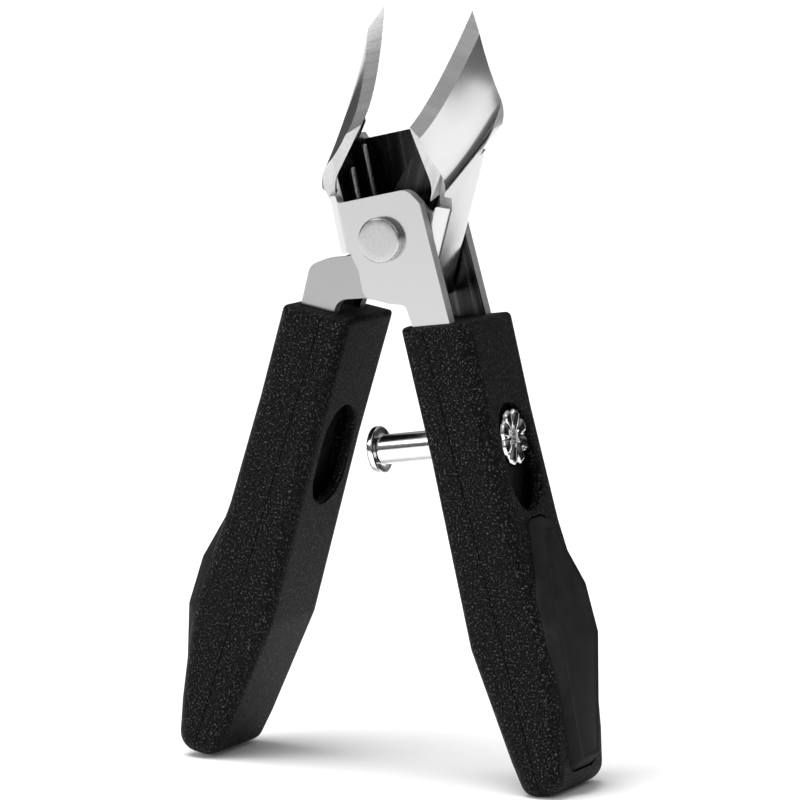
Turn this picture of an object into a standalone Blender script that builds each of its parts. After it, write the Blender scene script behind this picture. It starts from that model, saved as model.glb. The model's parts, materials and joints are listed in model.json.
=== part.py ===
"""Plier-type nail clipper: two nested channel levers crossed on one rivet, shelled handles and a sliding lock.

Every piece is modelled in a lever frame: origin on the pivot axis, +Z towards the cutting edge, -Y to the
front. The two lever frames are empties on the pivot, leaning apart by OPEN_LEAN each, which is the rest pose.
Lever A (outer) has the left jaw and the right handle. Lever B (inner) mirrors it.
"""

import math

import bmesh
import bpy
from mathutils import Matrix, Vector

MM = 0.001

# Pose of the two levers
OPEN_LEAN = math.radians(14.0)
PIVOT = Vector((0.873, 0.0, 79.078)) * MM

# Sheet metal
SHEET = 1.8 * MM
WEB_X = 7.8 * MM
OUTER_HALF_DEPTH = 7.0 * MM
INNER_HALF_DEPTH = 5.1 * MM
OUTER_FRONT_CORNER = (5.4 * MM, 6.4 * MM)
INNER_FRONT_CORNER = (2.6 * MM, 5.6 * MM)
BEND_RADIUS = 2.0 * MM

# Jaw flap: the front end is low, the rear end is a high point
FLAP_STATIONS = 9
EDGE_FRONT_Y = -6.2 * MM
EDGE_REAR_Y = 7.0 * MM
EDGE_FRONT_Z = 16.8 * MM
EDGE_REAR_Z = 33.3 * MM
EDGE_HOLLOW = 2.2 * MM
OUTER_EDGE_X = (0.0, 0.9 * MM)
INNER_EDGE_X = (0.5 * MM, 1.2 * MM)
EDGE_LAND = 0.15 * MM
FLAP_PROUD = 0.06 * MM
FOLD_FRONT_Z = 10.8 * MM
FOLD_REAR_Z = 20.6 * MM
FOLD_REACH = 1.6 * MM

# Rivet and spring
PIN_RADIUS = 2.0 * MM
RUNNING_GAP = 0.08 * MM
RIVET_HEAD_RADIUS = 3.3 * MM
RIVET_HEAD_HEIGHT = 1.35 * MM
WIRE_RADIUS = 0.45 * MM
COIL_RADIUS = 4.75 * MM

# Handles
HANDLE_HALF_DEPTH = 8.5 * MM
HANDLE_ROUND = 2.3 * MM
WALL = 1.35 * MM
SEAM_GAP = 0.12 * MM
CAVITY_TOP = -16.3 * MM
CAVITY_END = -51.5 * MM
RIGHT_SHIFT = -0.9 * MM
LEFT_SHIFT = 0.9 * MM
FIT_GAP = 0.15 * MM

# Grip pad
PAD_BACK_X = 11.4 * MM
PAD_GAP = 0.15 * MM

# Lock
LOCK_Z = -30.9 * MM
LOCK_LEAN = math.radians(4.4)
LOCK_TRAVEL = 6.2 * MM
STUD_RADIUS = 2.2 * MM
FLANGE_RADIUS = 3.5 * MM
FLANGE_X = -11.4 * MM
KNOB_RADIUS = 4.25 * MM
KNOB_FACE_X = 11.3 * MM
SLOT_HALF_WIDTH = 5.0 * MM
SLOT_TOP = -26.6 * MM
SLOT_END = -42.7 * MM
KEYHOLE_Z = -30.4 * MM

MATERIALS = {
    "polished_steel": ((0.72, 0.72, 0.72, 1.0), 0.16, 1.0),
    "satin_steel": ((0.66, 0.66, 0.67, 1.0), 0.32, 1.0),
    "chrome": ((0.80, 0.80, 0.80, 1.0), 0.12, 1.0),
    "spring_steel": ((0.40, 0.40, 0.41, 1.0), 0.35, 1.0),
    "black_oxide": ((0.03, 0.03, 0.03, 1.0), 0.45, 0.0),
    "black_plastic": ((0.018, 0.018, 0.019, 1.0), 0.52, 0.0),
    "black_rubber": ((0.012, 0.012, 0.012, 1.0), 0.75, 0.0),
}


# ---------------------------------------------------------------- helpers
def clear_scene():
    for obj in list(bpy.data.objects):
        bpy.data.objects.remove(obj)


def material(name):
    found = bpy.data.materials.get(name)
    if found:
        return found
    colour, roughness, metallic = MATERIALS[name]
    made = bpy.data.materials.new(name)
    made.use_nodes = True
    shader = made.node_tree.nodes["Principled BSDF"]
    shader.inputs["Base Color"].default_value = colour
    shader.inputs["Roughness"].default_value = roughness
    shader.inputs["Metallic"].default_value = metallic
    return made


def lever_frame(name, lean):
    empty = bpy.data.objects.new(name, None)
    empty.location = PIVOT
    empty.rotation_euler = (0.0, lean, 0.0)
    bpy.context.scene.collection.objects.link(empty)
    return empty


def make_object(name, bm, parent=None, slot=None, smooth_angle=35.0):
    bmesh.ops.recalc_face_normals(bm, faces=bm.faces)
    mesh = bpy.data.meshes.new(name)
    bm.to_mesh(mesh)
    bm.free()
    mesh.shade_smooth()
    mesh.set_sharp_from_angle(angle=math.radians(smooth_angle))
    obj = bpy.data.objects.new(name, mesh)
    bpy.context.scene.collection.objects.link(obj)
    obj.parent = parent
    if slot:
        mesh.materials.append(material(slot))
    return obj


def make_cutter(name, bm, parent=None):
    cutter = make_object(name, bm, parent)
    cutter.hide_render = True
    cutter.display_type = "WIRE"
    return cutter


def boolean(obj, other, operation="DIFFERENCE"):
    modifier = obj.modifiers.new(operation.lower() + "_" + other.name, "BOOLEAN")
    modifier.operation = operation
    modifier.object = other
    modifier.solver = "EXACT"


def prism(outline, low, high, to_point):
    """Closed solid from a flat outline: to_point(a, b, depth) places each corner at both depths."""
    bm = bmesh.new()
    near = [bm.verts.new(to_point(a, b, low)) for a, b in outline]
    far = [bm.verts.new(to_point(a, b, high)) for a, b in outline]
    bm.faces.new(near)
    bm.faces.new(reversed(far))
    for i in range(len(outline)):
        j = (i + 1) % len(outline)
        bm.faces.new((near[i], far[i], far[j], near[j]))
    return bm


def prism_xz(outline, low, high):
    return prism(outline, low, high, lambda a, b, depth: Vector((a, depth, b)))


def prism_yz(outline, low, high):
    return prism(outline, low, high, lambda a, b, depth: Vector((depth, a, b)))


def prism_xy(outline, low, high):
    return prism(outline, low, high, lambda a, b, depth: Vector((a, b, depth)))


def arc(centre, radius, start, end, steps):
    """Points on an arc, angles in degrees, both ends included."""
    points = []
    for i in range(steps + 1):
        angle = math.radians(start + (end - start) * i / steps)
        points.append((centre[0] + radius * math.cos(angle), centre[1] + radius * math.sin(angle)))
    return points


def rounded(corners, steps=4):
    """Closed outline whose corners are (a, b, radius), each turned into an arc tangent to both sides."""
    points = []
    count = len(corners)
    for i in range(count):
        before = Vector(corners[i - 1][:2])
        here = Vector(corners[i][:2])
        after = Vector(corners[(i + 1) % count][:2])
        radius = corners[i][2]
        if radius <= 0.0:
            points.append((here.x, here.y))
            continue
        to_before = (before - here).normalized()
        to_after = (after - here).normalized()
        half = to_before.angle(to_after) / 2
        centre = here + (to_before + to_after).normalized() * (radius / math.sin(half))
        first = here + to_before * (radius / math.tan(half)) - centre
        last = here + to_after * (radius / math.tan(half)) - centre
        turn = math.atan2(first.x * last.y - first.y * last.x, first.dot(last))
        for k in range(steps + 1):
            angle = turn * k / steps
            points.append(
                (
                    centre.x + first.x * math.cos(angle) - first.y * math.sin(angle),
                    centre.y + first.x * math.sin(angle) + first.y * math.cos(angle),
                )
            )
    return points


def scaled(corners):
    """Corners written in millimetres, as metres."""
    return [tuple(value * MM for value in corner) for corner in corners]


def mirrored(outline, side):
    """Outline for one side: side is 1 as drawn, -1 mirrored across x = 0."""
    return [(side * point[0],) + tuple(point[1:]) for point in outline]


def stadium(half_width, low, high, steps=10):
    """Slot outline in (y, z) with round ends."""
    upper = arc((0.0, high - half_width), half_width, 0, 180, steps)
    lower = arc((0.0, low + half_width), half_width, 180, 360, steps)
    return upper + lower


def turned(profile, axis_matrix, steps=32):
    """Solid turned about local Z from a closed (radius, height) profile, then moved by axis_matrix."""
    bm = bmesh.new()
    rings = []
    for radius, height in profile:
        if radius < 1e-9:
            rings.append([bm.verts.new((0.0, 0.0, height))])
            continue
        ring = []
        for i in range(steps):
            angle = 2 * math.pi * i / steps
            ring.append(bm.verts.new((radius * math.cos(angle), radius * math.sin(angle), height)))
        rings.append(ring)
    count = len(rings)
    for k in range(count):
        one, two = rings[k], rings[(k + 1) % count]
        if len(one) == 1 and len(two) == 1:
            continue
        for i in range(steps):
            j = (i + 1) % steps
            corners = [one[i % len(one)], one[j % len(one)], two[j % len(two)], two[i % len(two)]]
            bm.faces.new(list(dict.fromkeys(corners)))
    bmesh.ops.transform(bm, matrix=axis_matrix, verts=bm.verts)
    return bm


def along_y(x=0.0, y=0.0, z=0.0):
    """Turning axis along +Y through the given point."""
    return Matrix.Translation((x, y, z)) @ Matrix.Rotation(-math.pi / 2, 4, "X")


def along_x(x=0.0, y=0.0, z=0.0, lean=0.0):
    """Turning axis along +X through the given point, dipping by lean."""
    return Matrix.Translation((x, y, z)) @ Matrix.Rotation(math.pi / 2 + lean, 4, "Y")


def rod(radius, low, high):
    return [(0.0, low), (radius, low), (radius, high), (0.0, high)]


def tube_profile(inner, outer, low, high):
    return [(inner, low), (outer, low), (outer, high), (inner, high)]


# ---------------------------------------------------------------- levers
def blend(a, b, share):
    return a + (b - a) * share


def flap_section(share, half_depth, edge_x, side):
    """Closed section of the web and the bent jaw flap at one station, front (0) to rear (1)."""
    y = blend(-OUTER_HALF_DEPTH, OUTER_HALF_DEPTH, share)
    root = half_depth - BEND_RADIUS
    root_y = blend(-root, root, share)
    step = half_depth - BEND_RADIUS * 0.35
    step_y = blend(-step, step, share)
    web_out = -WEB_X - FLAP_PROUD
    web_in = -WEB_X + SHEET + FLAP_PROUD
    fold_z = blend(FOLD_FRONT_Z, FOLD_REAR_Z, share)
    low_z = fold_z - 4.2 * MM
    edge_y = blend(EDGE_FRONT_Y, EDGE_REAR_Y, share)
    edge_z = blend(EDGE_FRONT_Z, EDGE_REAR_Z, share) - EDGE_HOLLOW * 4 * share * (1 - share)
    edge = Vector((blend(edge_x[0], edge_x[1], share), edge_y, edge_z))
    ground = edge - Vector((blend(2.4, 2.75, share), blend(0.8, 1.4, share), blend(0.9, 2.7, share))) * MM
    fold_out = Vector((web_out, y, fold_z))
    fold_in = Vector((web_in, y, fold_z - 0.75 * SHEET))
    up_out = (ground - fold_out).normalized()
    up_in = (edge - fold_in).normalized()
    drop = Vector((0.0, 0.0, -FOLD_REACH))
    outer_fold = [fold_out + drop, fold_out + drop * 0.35 + up_out * 0.2 * MM, fold_out + up_out * FOLD_REACH]
    inner_fold = [fold_in + up_in * FOLD_REACH, fold_in + drop * 0.35 + up_in * 0.2 * MM, fold_in + drop]
    step_z = fold_z - 2.3 * MM
    points = [
        Vector((web_out, root_y, low_z)),
        Vector((web_out, step_y, step_z)),
        outer_fold[0],
        outer_fold[1] + Vector((0.25 * MM, 0.0, 0.0)),
        outer_fold[2],
        blend(outer_fold[2], ground, 0.5) + Vector((0.25, 0.0, -0.15)) * MM,
        ground,
        edge - Vector((EDGE_LAND, 0.0, 0.0)),
        edge - Vector((EDGE_LAND, 0.0, EDGE_LAND)),
        blend(inner_fold[0], edge, 0.5),
        inner_fold[0],
        inner_fold[1],
        inner_fold[2],
        Vector((web_in, step_y, step_z)),
        Vector((web_in, root_y, low_z)),
    ]
    return [Vector((side * point.x, point.y, point.z)) for point in points]


def flap_mesh(half_depth, edge_x, side):
    bm = bmesh.new()
    sections = []
    for i in range(FLAP_STATIONS):
        section = flap_section(i / (FLAP_STATIONS - 1), half_depth, edge_x, side)
        sections.append([bm.verts.new(point) for point in section])
    bm.faces.new(sections[0])
    bm.faces.new(reversed(sections[-1]))
    count = len(sections[0])
    for one, two in zip(sections, sections[1:]):
        for i in range(count):
            j = (i + 1) % count
            bm.faces.new((one[i], two[i], two[j], one[j]))
    bmesh.ops.triangulate(bm, faces=bm.faces)
    return bm


def channel_mesh(half_depth, side, low, high):
    """U section, open on the side away from the web."""
    reach = 14.0 * MM
    outer = BEND_RADIUS
    inner = BEND_RADIUS - SHEET
    y = half_depth
    corners = [
        (-WEB_X, -y, outer),
        (reach, -y, 0.0),
        (reach, -y + SHEET, 0.0),
        (-WEB_X + SHEET, -y + SHEET, inner),
        (-WEB_X + SHEET, y - SHEET, inner),
        (reach, y - SHEET, 0.0),
        (reach, y, 0.0),
        (-WEB_X, y, outer),
    ]
    return prism_xy(mirrored(rounded(corners, 4), side), low, high)


def outer_plate_outline():
    """Side outline of lever A's channel, in millimetres: left web, right tang."""
    return scaled(
        [
            (-8.6, 16.0, 0),
            (-8.6, -0.7, 0),
            (-5.6, -1.0, 0.4),
            (-4.8, -3.6, 1.2),
            (-4.8, -7.6, 1.4),
            (-1.0, -9.3, 2.0),
            (1.5, -9.9, 1.0),
            (2.0, -13.5, 0),
            (2.2, -26.0, 1.0),
            (7.6, -26.0, 1.0),
            (7.9, -13.5, 0),
            (6.9, 6.4, 1.6),
            (2.6, 15.0, 1.6),
            (-5.9, 15.0, 0),
            (-6.3, 16.0, 0),
        ]
    )


def inner_plate_outline():
    """Side outline of lever B's channel, drawn with its web on the left and its tang on the right."""
    return scaled(
        [
            (-8.6, 15.0, 0),
            (-8.6, -6.2, 0),
            (-5.0, -8.6, 1.0),
            (1.5, -9.6, 3.0),
            (5.6, -11.2, 2.2),
            (5.6, -16.8, 0.8),
            (4.0, -18.0, 0.4),
            (4.0, -24.3, 1.0),
            (10.4, -24.3, 1.0),
            (11.0, -14.0, 0),
            (11.1, -7.6, 2.0),
            (8.6, -5.75, 1.0),
            (4.6, -4.1, 0.4),
            (4.6, -2.4, 0.4),
            (5.5, 0.0, 2.0),
            (5.2, 2.6, 0),
            (4.4, 6.4, 1.0),
            (2.0, 14.2, 1.4),
            (-5.9, 14.2, 0),
            (-6.3, 15.0, 0),
        ]
    )


def front_window(corner_x, front_top):
    """Outline of what is cut away above a front plate: a relief notch at the web, a round outer corner."""
    high, far = 17.0 * MM, 9.2 * MM
    notch_x, notch_z = -6.0 * MM, front_top + 1.2 * MM
    return [
        (-8.9 * MM, high, 0.0),
        (-8.9 * MM, notch_z, 0.0),
        (notch_x, notch_z, 0.5 * MM),
        (notch_x, front_top, 0.5 * MM),
        (corner_x, front_top, 2.2 * MM),
        (corner_x + 2.2 * MM, front_top - 3.2 * MM, 0.8 * MM),
        (far, front_top - 4.0 * MM, 0.0),
        (far, high, 0.0),
    ]


def build_lever(name, frame, side, half_depth, front_corner, edge_x, outline):
    """Channel cut to its side outline, front plate cut low, then the jaw flap joined on the web."""
    reach = 12.0 * MM
    lever = make_object(name, channel_mesh(half_depth, side, -30 * MM, 20 * MM), frame, "polished_steel")
    shape = rounded(outline, 4)
    keep = make_cutter(name + "_outline", prism_xz(mirrored(shape, side), -reach, reach), frame)
    boolean(lever, keep, "INTERSECT")
    window = rounded(front_window(*front_corner), 4)
    window_low = -half_depth - 1 * MM
    window_high = -half_depth + SHEET + 0.4 * MM
    front = make_cutter(name + "_window", prism_xz(mirrored(window, side), window_low, window_high), frame)
    boolean(lever, front)
    above = scaled([(-9.0, 8.4), (9.0, 18.2), (9.0, 21.0), (-9.0, 21.0)])
    web_top = prism_yz(above, -side * 9.5 * MM, -side * (WEB_X - SHEET - 0.05 * MM))
    boolean(lever, make_cutter(name + "_web_top", web_top, frame))
    flap = make_cutter(name + "_flap", flap_mesh(half_depth, edge_x, side), frame)
    boolean(lever, flap, "UNION")
    hole = turned(rod(PIN_RADIUS + RUNNING_GAP, -9 * MM, 9 * MM), along_y())
    boolean(lever, make_cutter(name + "_rivet_hole", hole, frame))
    return lever


# ---------------------------------------------------------------- rivet, sleeve and spring
def build_rivet(frame):
    face = OUTER_HALF_DEPTH + 0.04 * MM
    head = RIVET_HEAD_RADIUS
    front = -face - RIVET_HEAD_HEIGHT
    profile = [
        (0.0, front),
        (head - 0.5 * MM, front),
        (head - 0.12 * MM, front + 0.15 * MM),
        (head, front + 0.45 * MM),
        (head, -face),
        (PIN_RADIUS, -face),
        (PIN_RADIUS, face),
        (head - 0.3 * MM, face),
        (head - 0.3 * MM, face + 0.4 * MM),
        (head - 1.0 * MM, face + 0.9 * MM),
        (0.0, face + 1.05 * MM),
    ]
    make_object("pivot_rivet", turned(profile, along_y()), frame, "chrome")


def build_sleeve(frame):
    half = INNER_HALF_DEPTH - SHEET - 0.1 * MM
    profile = tube_profile(PIN_RADIUS + RUNNING_GAP, PIN_RADIUS + 1.4 * MM, -half, half)
    make_object("spring_sleeve", turned(profile, along_y(), 24), frame, "satin_steel")


def coil_points(start_y, end_y, start_angle, end_angle, steps):
    points = []
    for i in range(steps + 1):
        share = i / steps
        angle = math.radians(start_angle + (end_angle - start_angle) * share)
        x = COIL_RADIUS * math.cos(angle)
        z = COIL_RADIUS * math.sin(angle)
        points.append(Vector((x, start_y + (end_y - start_y) * share, z)))
    return points


def spring_path():
    """Front leg, front coil, middle loop against lever B's web, rear coil and rear leg, in lever A's frame."""
    outer_y = 2.55 * MM
    inner_y = 0.75 * MM
    loop_lean = 2 * OPEN_LEAN
    front_leg = [Vector((-COIL_RADIUS, -outer_y, 11.0 * MM)), Vector((-COIL_RADIUS, -outer_y, 4.0 * MM))]
    front_coil = coil_points(-outer_y, -inner_y, -540.0, -math.degrees(loop_lean), 44)
    direction = Vector((math.sin(loop_lean), 0.0, math.cos(loop_lean)))
    loop_start = front_coil[-1] + direction * 4.0 * MM
    loop_end = front_coil[-1] + direction * 9.0 * MM
    loop = [loop_start, loop_end]
    loop += [Vector((point.x, inner_y, point.z)) for point in (loop_end, loop_start)]
    rear_coil = [Vector((p.x, -p.y, p.z)) for p in reversed(front_coil)]
    rear_leg = [Vector((-COIL_RADIUS, outer_y, 4.0 * MM)), Vector((-COIL_RADIUS, outer_y, 14.0 * MM))]
    return front_leg + front_coil + loop + rear_coil + rear_leg


def build_spring(frame):
    data = bpy.data.curves.new("return_spring", "CURVE")
    data.dimensions = "3D"
    data.bevel_depth = WIRE_RADIUS
    data.bevel_resolution = 1
    data.use_fill_caps = True
    path = spring_path()
    spline = data.splines.new("POLY")
    spline.points.add(len(path) - 1)
    for point, place in zip(spline.points, path):
        point.co = (place.x, place.y, place.z, 1.0)
    obj = bpy.data.objects.new("return_spring", data)
    bpy.context.scene.collection.objects.link(obj)
    obj.parent = frame
    data.materials.append(material("spring_steel"))


# ---------------------------------------------------------------- handles
def seam_x(z):
    """Where the two shells of a handle meet, at height z."""
    return 4.9 * MM + (-13.0 * MM - z) * 0.052


def handle_corners():
    """Side outline of a handle in millimetres, inner face on the left."""
    return [
        (0.9, -12.9, 0.9),
        (1.5, -32.0, 3.0),
        (1.6, -60.5, 6.0),
        (4.4, -77.5, 5.0),
        (5.6, -83.0, 2.4),
        (11.6, -83.4, 3.0),
        (13.0, -76.0, 8.0),
        (14.8, -62.0, 4.0),
        (12.9, -45.0, 8.0),
        (12.2, -28.0, 3.0),
        (12.0, -13.9, 0.9),
    ]


def shifted(corners, shift):
    return [(corner[0] + shift,) + tuple(corner[1:]) for corner in corners]


def inset_corners(corners, shares, distance):
    """The same corners with each side moved inwards by its own share of the distance."""
    moved = []
    count = len(corners)
    for i in range(count):
        before = Vector(corners[i - 1][:2])
        here = Vector(corners[i][:2])
        after = Vector(corners[(i + 1) % count][:2])
        side_in = (here - before).normalized()
        side_out = (after - here).normalized()
        normal_in = Vector((-side_in.y, side_in.x))
        normal_out = Vector((-side_out.y, side_out.x))
        start = before + normal_in * distance * shares[i - 1]
        other = here + normal_out * distance * shares[i]
        turn = side_in.x * side_out.y - side_in.y * side_out.x
        gap = other - start
        along = (gap.x * side_out.y - gap.y * side_out.x) / turn
        point = start + side_in * along
        radius = max(corners[i][2] - distance * shares[i], 0.1 * MM)
        moved.append((point.x, point.y, radius))
    return moved


def handle_solid(name, frame, side, shift, slot):
    """Bar with the handle's side outline, its long edges rounded by HANDLE_ROUND and its top edge by less."""
    corners = shifted(scaled(handle_corners()), shift)
    shares = [1.0] * len(corners)
    shares[-1] = 0.35
    bm = bmesh.new()
    loops = []
    straight = HANDLE_HALF_DEPTH - HANDLE_ROUND
    angles = [-90, -60, -30, 0, 0, 30, 60, 90]
    for number, angle in enumerate(math.radians(value) for value in angles):
        middle = -straight if number < 4 else straight
        y = middle + HANDLE_ROUND * math.sin(angle)
        inset = HANDLE_ROUND * (1 - math.cos(angle))
        outline = mirrored(rounded(inset_corners(corners, shares, inset), 3), side)
        loops.append([bm.verts.new((x, y, z)) for x, z in outline])
    bm.faces.new(loops[0])
    bm.faces.new(reversed(loops[-1]))
    for one, two in zip(loops, loops[1:]):
        for i in range(len(one)):
            j = (i + 1) % len(one)
            bm.faces.new((one[i], two[i], two[j], one[j]))
    return make_object(name, bm, frame, slot)


def seam_half(side, shift, outward):
    """Half space on one side of the seam: outward 1 covers the outer shell, -1 the inner shell."""
    offset = shift - outward * SEAM_GAP / 2
    top, bottom = -5 * MM, -95 * MM
    far = 30 * MM * outward
    corners = [
        (seam_x(top) + offset, top),
        (seam_x(bottom) + offset, bottom),
        (seam_x(bottom) + offset + far, bottom),
        (seam_x(top) + offset + far, top),
    ]
    reach = 12 * MM
    return prism_xz(mirrored(corners, side), -reach, reach)


def cavity_mesh(side, shift):
    inner_wall = 2.6 * MM + shift
    outer_wall = 10.85 * MM + shift
    outline = [
        (inner_wall, CAVITY_TOP),
        (inner_wall + 0.4 * MM, CAVITY_END),
        (outer_wall + 0.2 * MM, CAVITY_END),
        (outer_wall, CAVITY_TOP),
    ]
    half = HANDLE_HALF_DEPTH - WALL + FIT_GAP * 0.4
    return prism_xz(mirrored(outline, side), -half, half)


def tang_slot_mesh(side, low_x, high_x, plate_high, sign):
    low_y = plate_high - SHEET - FIT_GAP
    high_y = plate_high + FIT_GAP
    corners = [(low_x, -10 * MM), (low_x, -17 * MM), (high_x, -17 * MM), (high_x, -10 * MM)]
    ends = sorted((sign * low_y, sign * high_y))
    return prism_xz(mirrored(corners, side), ends[0], ends[1])


def pin_places(shift, heights):
    return [(seam_x(z) + shift, z) for z in heights]


def screw_places():
    return [-55.0 * MM, -71.0 * MM]


def pad_outline():
    """Outline of the grip pad in (y, z), a long hexagon with soft corners."""
    half = [(2.6, -43.6, 1.6), (7.2, -54.5, 3.0), (7.7, -62.0, 3.0), (4.2, -80.6, 1.8)]
    other = [(-y, z, r) for y, z, r in reversed(half)]
    return rounded(scaled(half + other), 3)


def pad_profile(shift):
    """Side outline of the pad: flat back against the pocket, crowned face."""
    corners = [
        (PAD_BACK_X / MM, -40.0, 0),
        (PAD_BACK_X / MM, -84.0, 0),
        (12.4, -84.0, 0),
        (13.9, -79.0, 6.0),
        (16.1, -65.5, 8.0),
        (15.7, -50.0, 4.0),
        (14.0, -43.0, 0),
        (14.0, -40.0, 0),
    ]
    return rounded(shifted(scaled(corners), shift), 4)


def build_pad(name, frame, side, shift):
    pad = make_object(name, prism_yz(pad_outline(), side * 8 * MM, side * 20 * MM), frame, "black_rubber")
    keep = prism_xz(mirrored(pad_profile(shift), side), -10 * MM, 10 * MM)
    boolean(pad, make_cutter(name + "_profile", keep, frame), "INTERSECT")


def pad_pocket(name, frame, side, shift):
    grown = [(y * 1.03, z + math.copysign(PAD_GAP, z + 62 * MM)) for y, z in pad_outline()]
    floor = side * (PAD_BACK_X + shift - PAD_GAP)
    return make_cutter(name, prism_yz(grown, floor, side * 22 * MM), frame)


def screw_place(side, shift, z):
    """Frame of a shell screw: its axis runs out through the pad pocket."""
    flip = Matrix.Identity(4) if side > 0 else Matrix.Rotation(math.pi, 4, "Y")
    head_x = (PAD_BACK_X + shift - 0.3 * MM) * side
    return Matrix.Translation((head_x, 0.0, z)) @ flip @ along_x()


def cut_screws(shell, name, frame, side, shift):
    """Stepped clearance holes for the two shell screws."""
    shank = 1.1 * MM + FIT_GAP
    head = 2.2 * MM + FIT_GAP
    profile = [
        (0.0, -7.2 * MM),
        (shank, -7.2 * MM),
        (shank, -2.0 * MM),
        (head, -2.0 * MM),
        (head, 3.0 * MM),
        (0.0, 3.0 * MM),
    ]
    for number, z in enumerate(screw_places()):
        hole = turned(profile, screw_place(side, shift, z), 22)
        boolean(shell, make_cutter(f"{name}_screw_hole_{number}", hole, frame))


def build_screws(prefix, frame, side, shift):
    for label, z in zip(("upper", "lower"), screw_places()):
        place = screw_place(side, shift, z)
        profile = [
            (0.0, -0.6 * MM),
            (0.7 * MM, -0.6 * MM),
            (0.7 * MM, -0.05 * MM),
            (1.7 * MM, -0.05 * MM),
            (2.2 * MM, -0.5 * MM),
            (2.2 * MM, -1.75 * MM),
            (1.1 * MM, -1.75 * MM),
            (1.1 * MM, -6.2 * MM),
            (0.5 * MM, -6.7 * MM),
            (0.0, -6.7 * MM),
        ]
        make_object(f"{prefix}_shell_screw_{label}", turned(profile, place, 20), frame, "satin_steel")


def build_pins(prefix, frame, side, shift, heights):
    half = HANDLE_HALF_DEPTH - 0.9 * MM
    for label, (x, z) in zip(("upper", "lower"), pin_places(shift, heights)):
        pin = turned(rod(1.2 * MM, -half, half), along_y(side * x, 0.0, z), 20)
        make_object(f"{prefix}_tang_pin_{label}", pin, frame, "satin_steel")


def build_handle(prefix, frame, side, shift, tang, heights):
    """Two shells around one cavity, with slots for the tangs and seats for the pins, screws and pad."""
    low_x, high_x, plate = tang
    cavity = make_cutter(prefix + "_cavity", cavity_mesh(side, shift), frame)
    slots = []
    for sign in (-1, 1):
        mesh = tang_slot_mesh(side, low_x, high_x, plate, sign)
        slots.append(make_cutter(f"{prefix}_tang_slot_{'rear' if sign > 0 else 'front'}", mesh, frame))
    seats = []
    half = HANDLE_HALF_DEPTH - 0.65 * MM
    for number, (x, z) in enumerate(pin_places(shift, heights)):
        seat = turned(rod(1.2 * MM + FIT_GAP, -half, half), along_y(side * x, 0.0, z), 20)
        seats.append(make_cutter(f"{prefix}_pin_seat_{number}", seat, frame))
    shells = {}
    for label, outward in (("outer", 1), ("inner", -1)):
        name = f"{prefix}_handle_{label}_shell"
        shell = handle_solid(name, frame, side, shift, "black_plastic")
        other_half = make_cutter(name + "_split", seam_half(side, shift, -outward), frame)
        boolean(shell, other_half)
        boolean(shell, cavity)
        for cutter in slots + seats:
            boolean(shell, cutter)
        cut_screws(shell, name, frame, side, shift)
        shells[label] = shell
    boolean(shells["outer"], pad_pocket(prefix + "_pad_pocket", frame, side, shift))
    build_pad(prefix + "_grip_pad", frame, side, shift)
    build_screws(prefix, frame, side, shift)
    build_pins(prefix, frame, side, shift, heights)
    return shells


# ---------------------------------------------------------------- lock
def lock_axis(x=0.0):
    """Turning axis of the lock stud at distance x along it, leaning a little in its slot."""
    centre = Matrix.Translation((0.0, 0.0, LOCK_Z)) @ Matrix.Rotation(LOCK_LEAN, 4, "Y")
    return centre @ along_x(x)


def build_stud(frame):
    end = 7.4 * MM
    bore = 1.5 * MM
    profile = [
        (0.0, FLANGE_X + 0.35 * MM),
        (1.3 * MM, FLANGE_X + 0.35 * MM),
        (1.5 * MM, FLANGE_X),
        (FLANGE_RADIUS - 0.25 * MM, FLANGE_X),
        (FLANGE_RADIUS, FLANGE_X + 0.25 * MM),
        (FLANGE_RADIUS, FLANGE_X + 0.8 * MM),
        (FLANGE_RADIUS - 0.25 * MM, FLANGE_X + 1.05 * MM),
        (STUD_RADIUS + 0.2 * MM, FLANGE_X + 1.05 * MM),
        (STUD_RADIUS, FLANGE_X + 1.3 * MM),
        (STUD_RADIUS, end),
        (bore, end),
        (bore, end - 7.6 * MM),
        (0.0, end - 7.6 * MM),
    ]
    make_object("lock_stud", turned(profile, lock_axis()), frame, "chrome")


def build_lock_screw(frame):
    back = KNOB_FACE_X - 2.0 * MM
    profile = [
        (0.0, 0.4 * MM),
        (1.25 * MM, 0.4 * MM),
        (1.25 * MM, back),
        (KNOB_RADIUS, back),
        (KNOB_RADIUS, KNOB_FACE_X - 0.5 * MM),
        (KNOB_RADIUS - 0.5 * MM, KNOB_FACE_X),
        (0.0, KNOB_FACE_X),
    ]
    screw = make_object("lock_screw", turned(profile, lock_axis(), 40), frame, "chrome")
    flutes = bmesh.new()
    for i in range(8):
        angle = 2 * math.pi * i / 8
        offset = Matrix.Translation((KNOB_RADIUS + 0.25 * MM, 0.0, 0.0))
        place = lock_axis() @ Matrix.Rotation(angle, 4, "Z") @ offset
        part = turned(rod(0.8 * MM, back - 1 * MM, KNOB_FACE_X + 1 * MM), place, 12)
        mesh = bpy.data.meshes.new("flute")
        part.to_mesh(mesh)
        part.free()
        flutes.from_mesh(mesh)
        bpy.data.meshes.remove(mesh)
    boolean(screw, make_cutter("lock_screw_flutes", flutes, frame))
    star = []
    for i in range(12):
        radius = (1.5 if i % 2 == 0 else 1.05) * MM
        angle = math.radians(30 * i)
        star.append((radius * math.cos(angle), radius * math.sin(angle)))
    socket = prism_xy(star, KNOB_FACE_X - 1.3 * MM, KNOB_FACE_X + 1 * MM)
    bmesh.ops.transform(socket, matrix=lock_axis(), verts=socket.verts)
    boolean(screw, make_cutter("lock_screw_socket", socket, frame))


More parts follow.
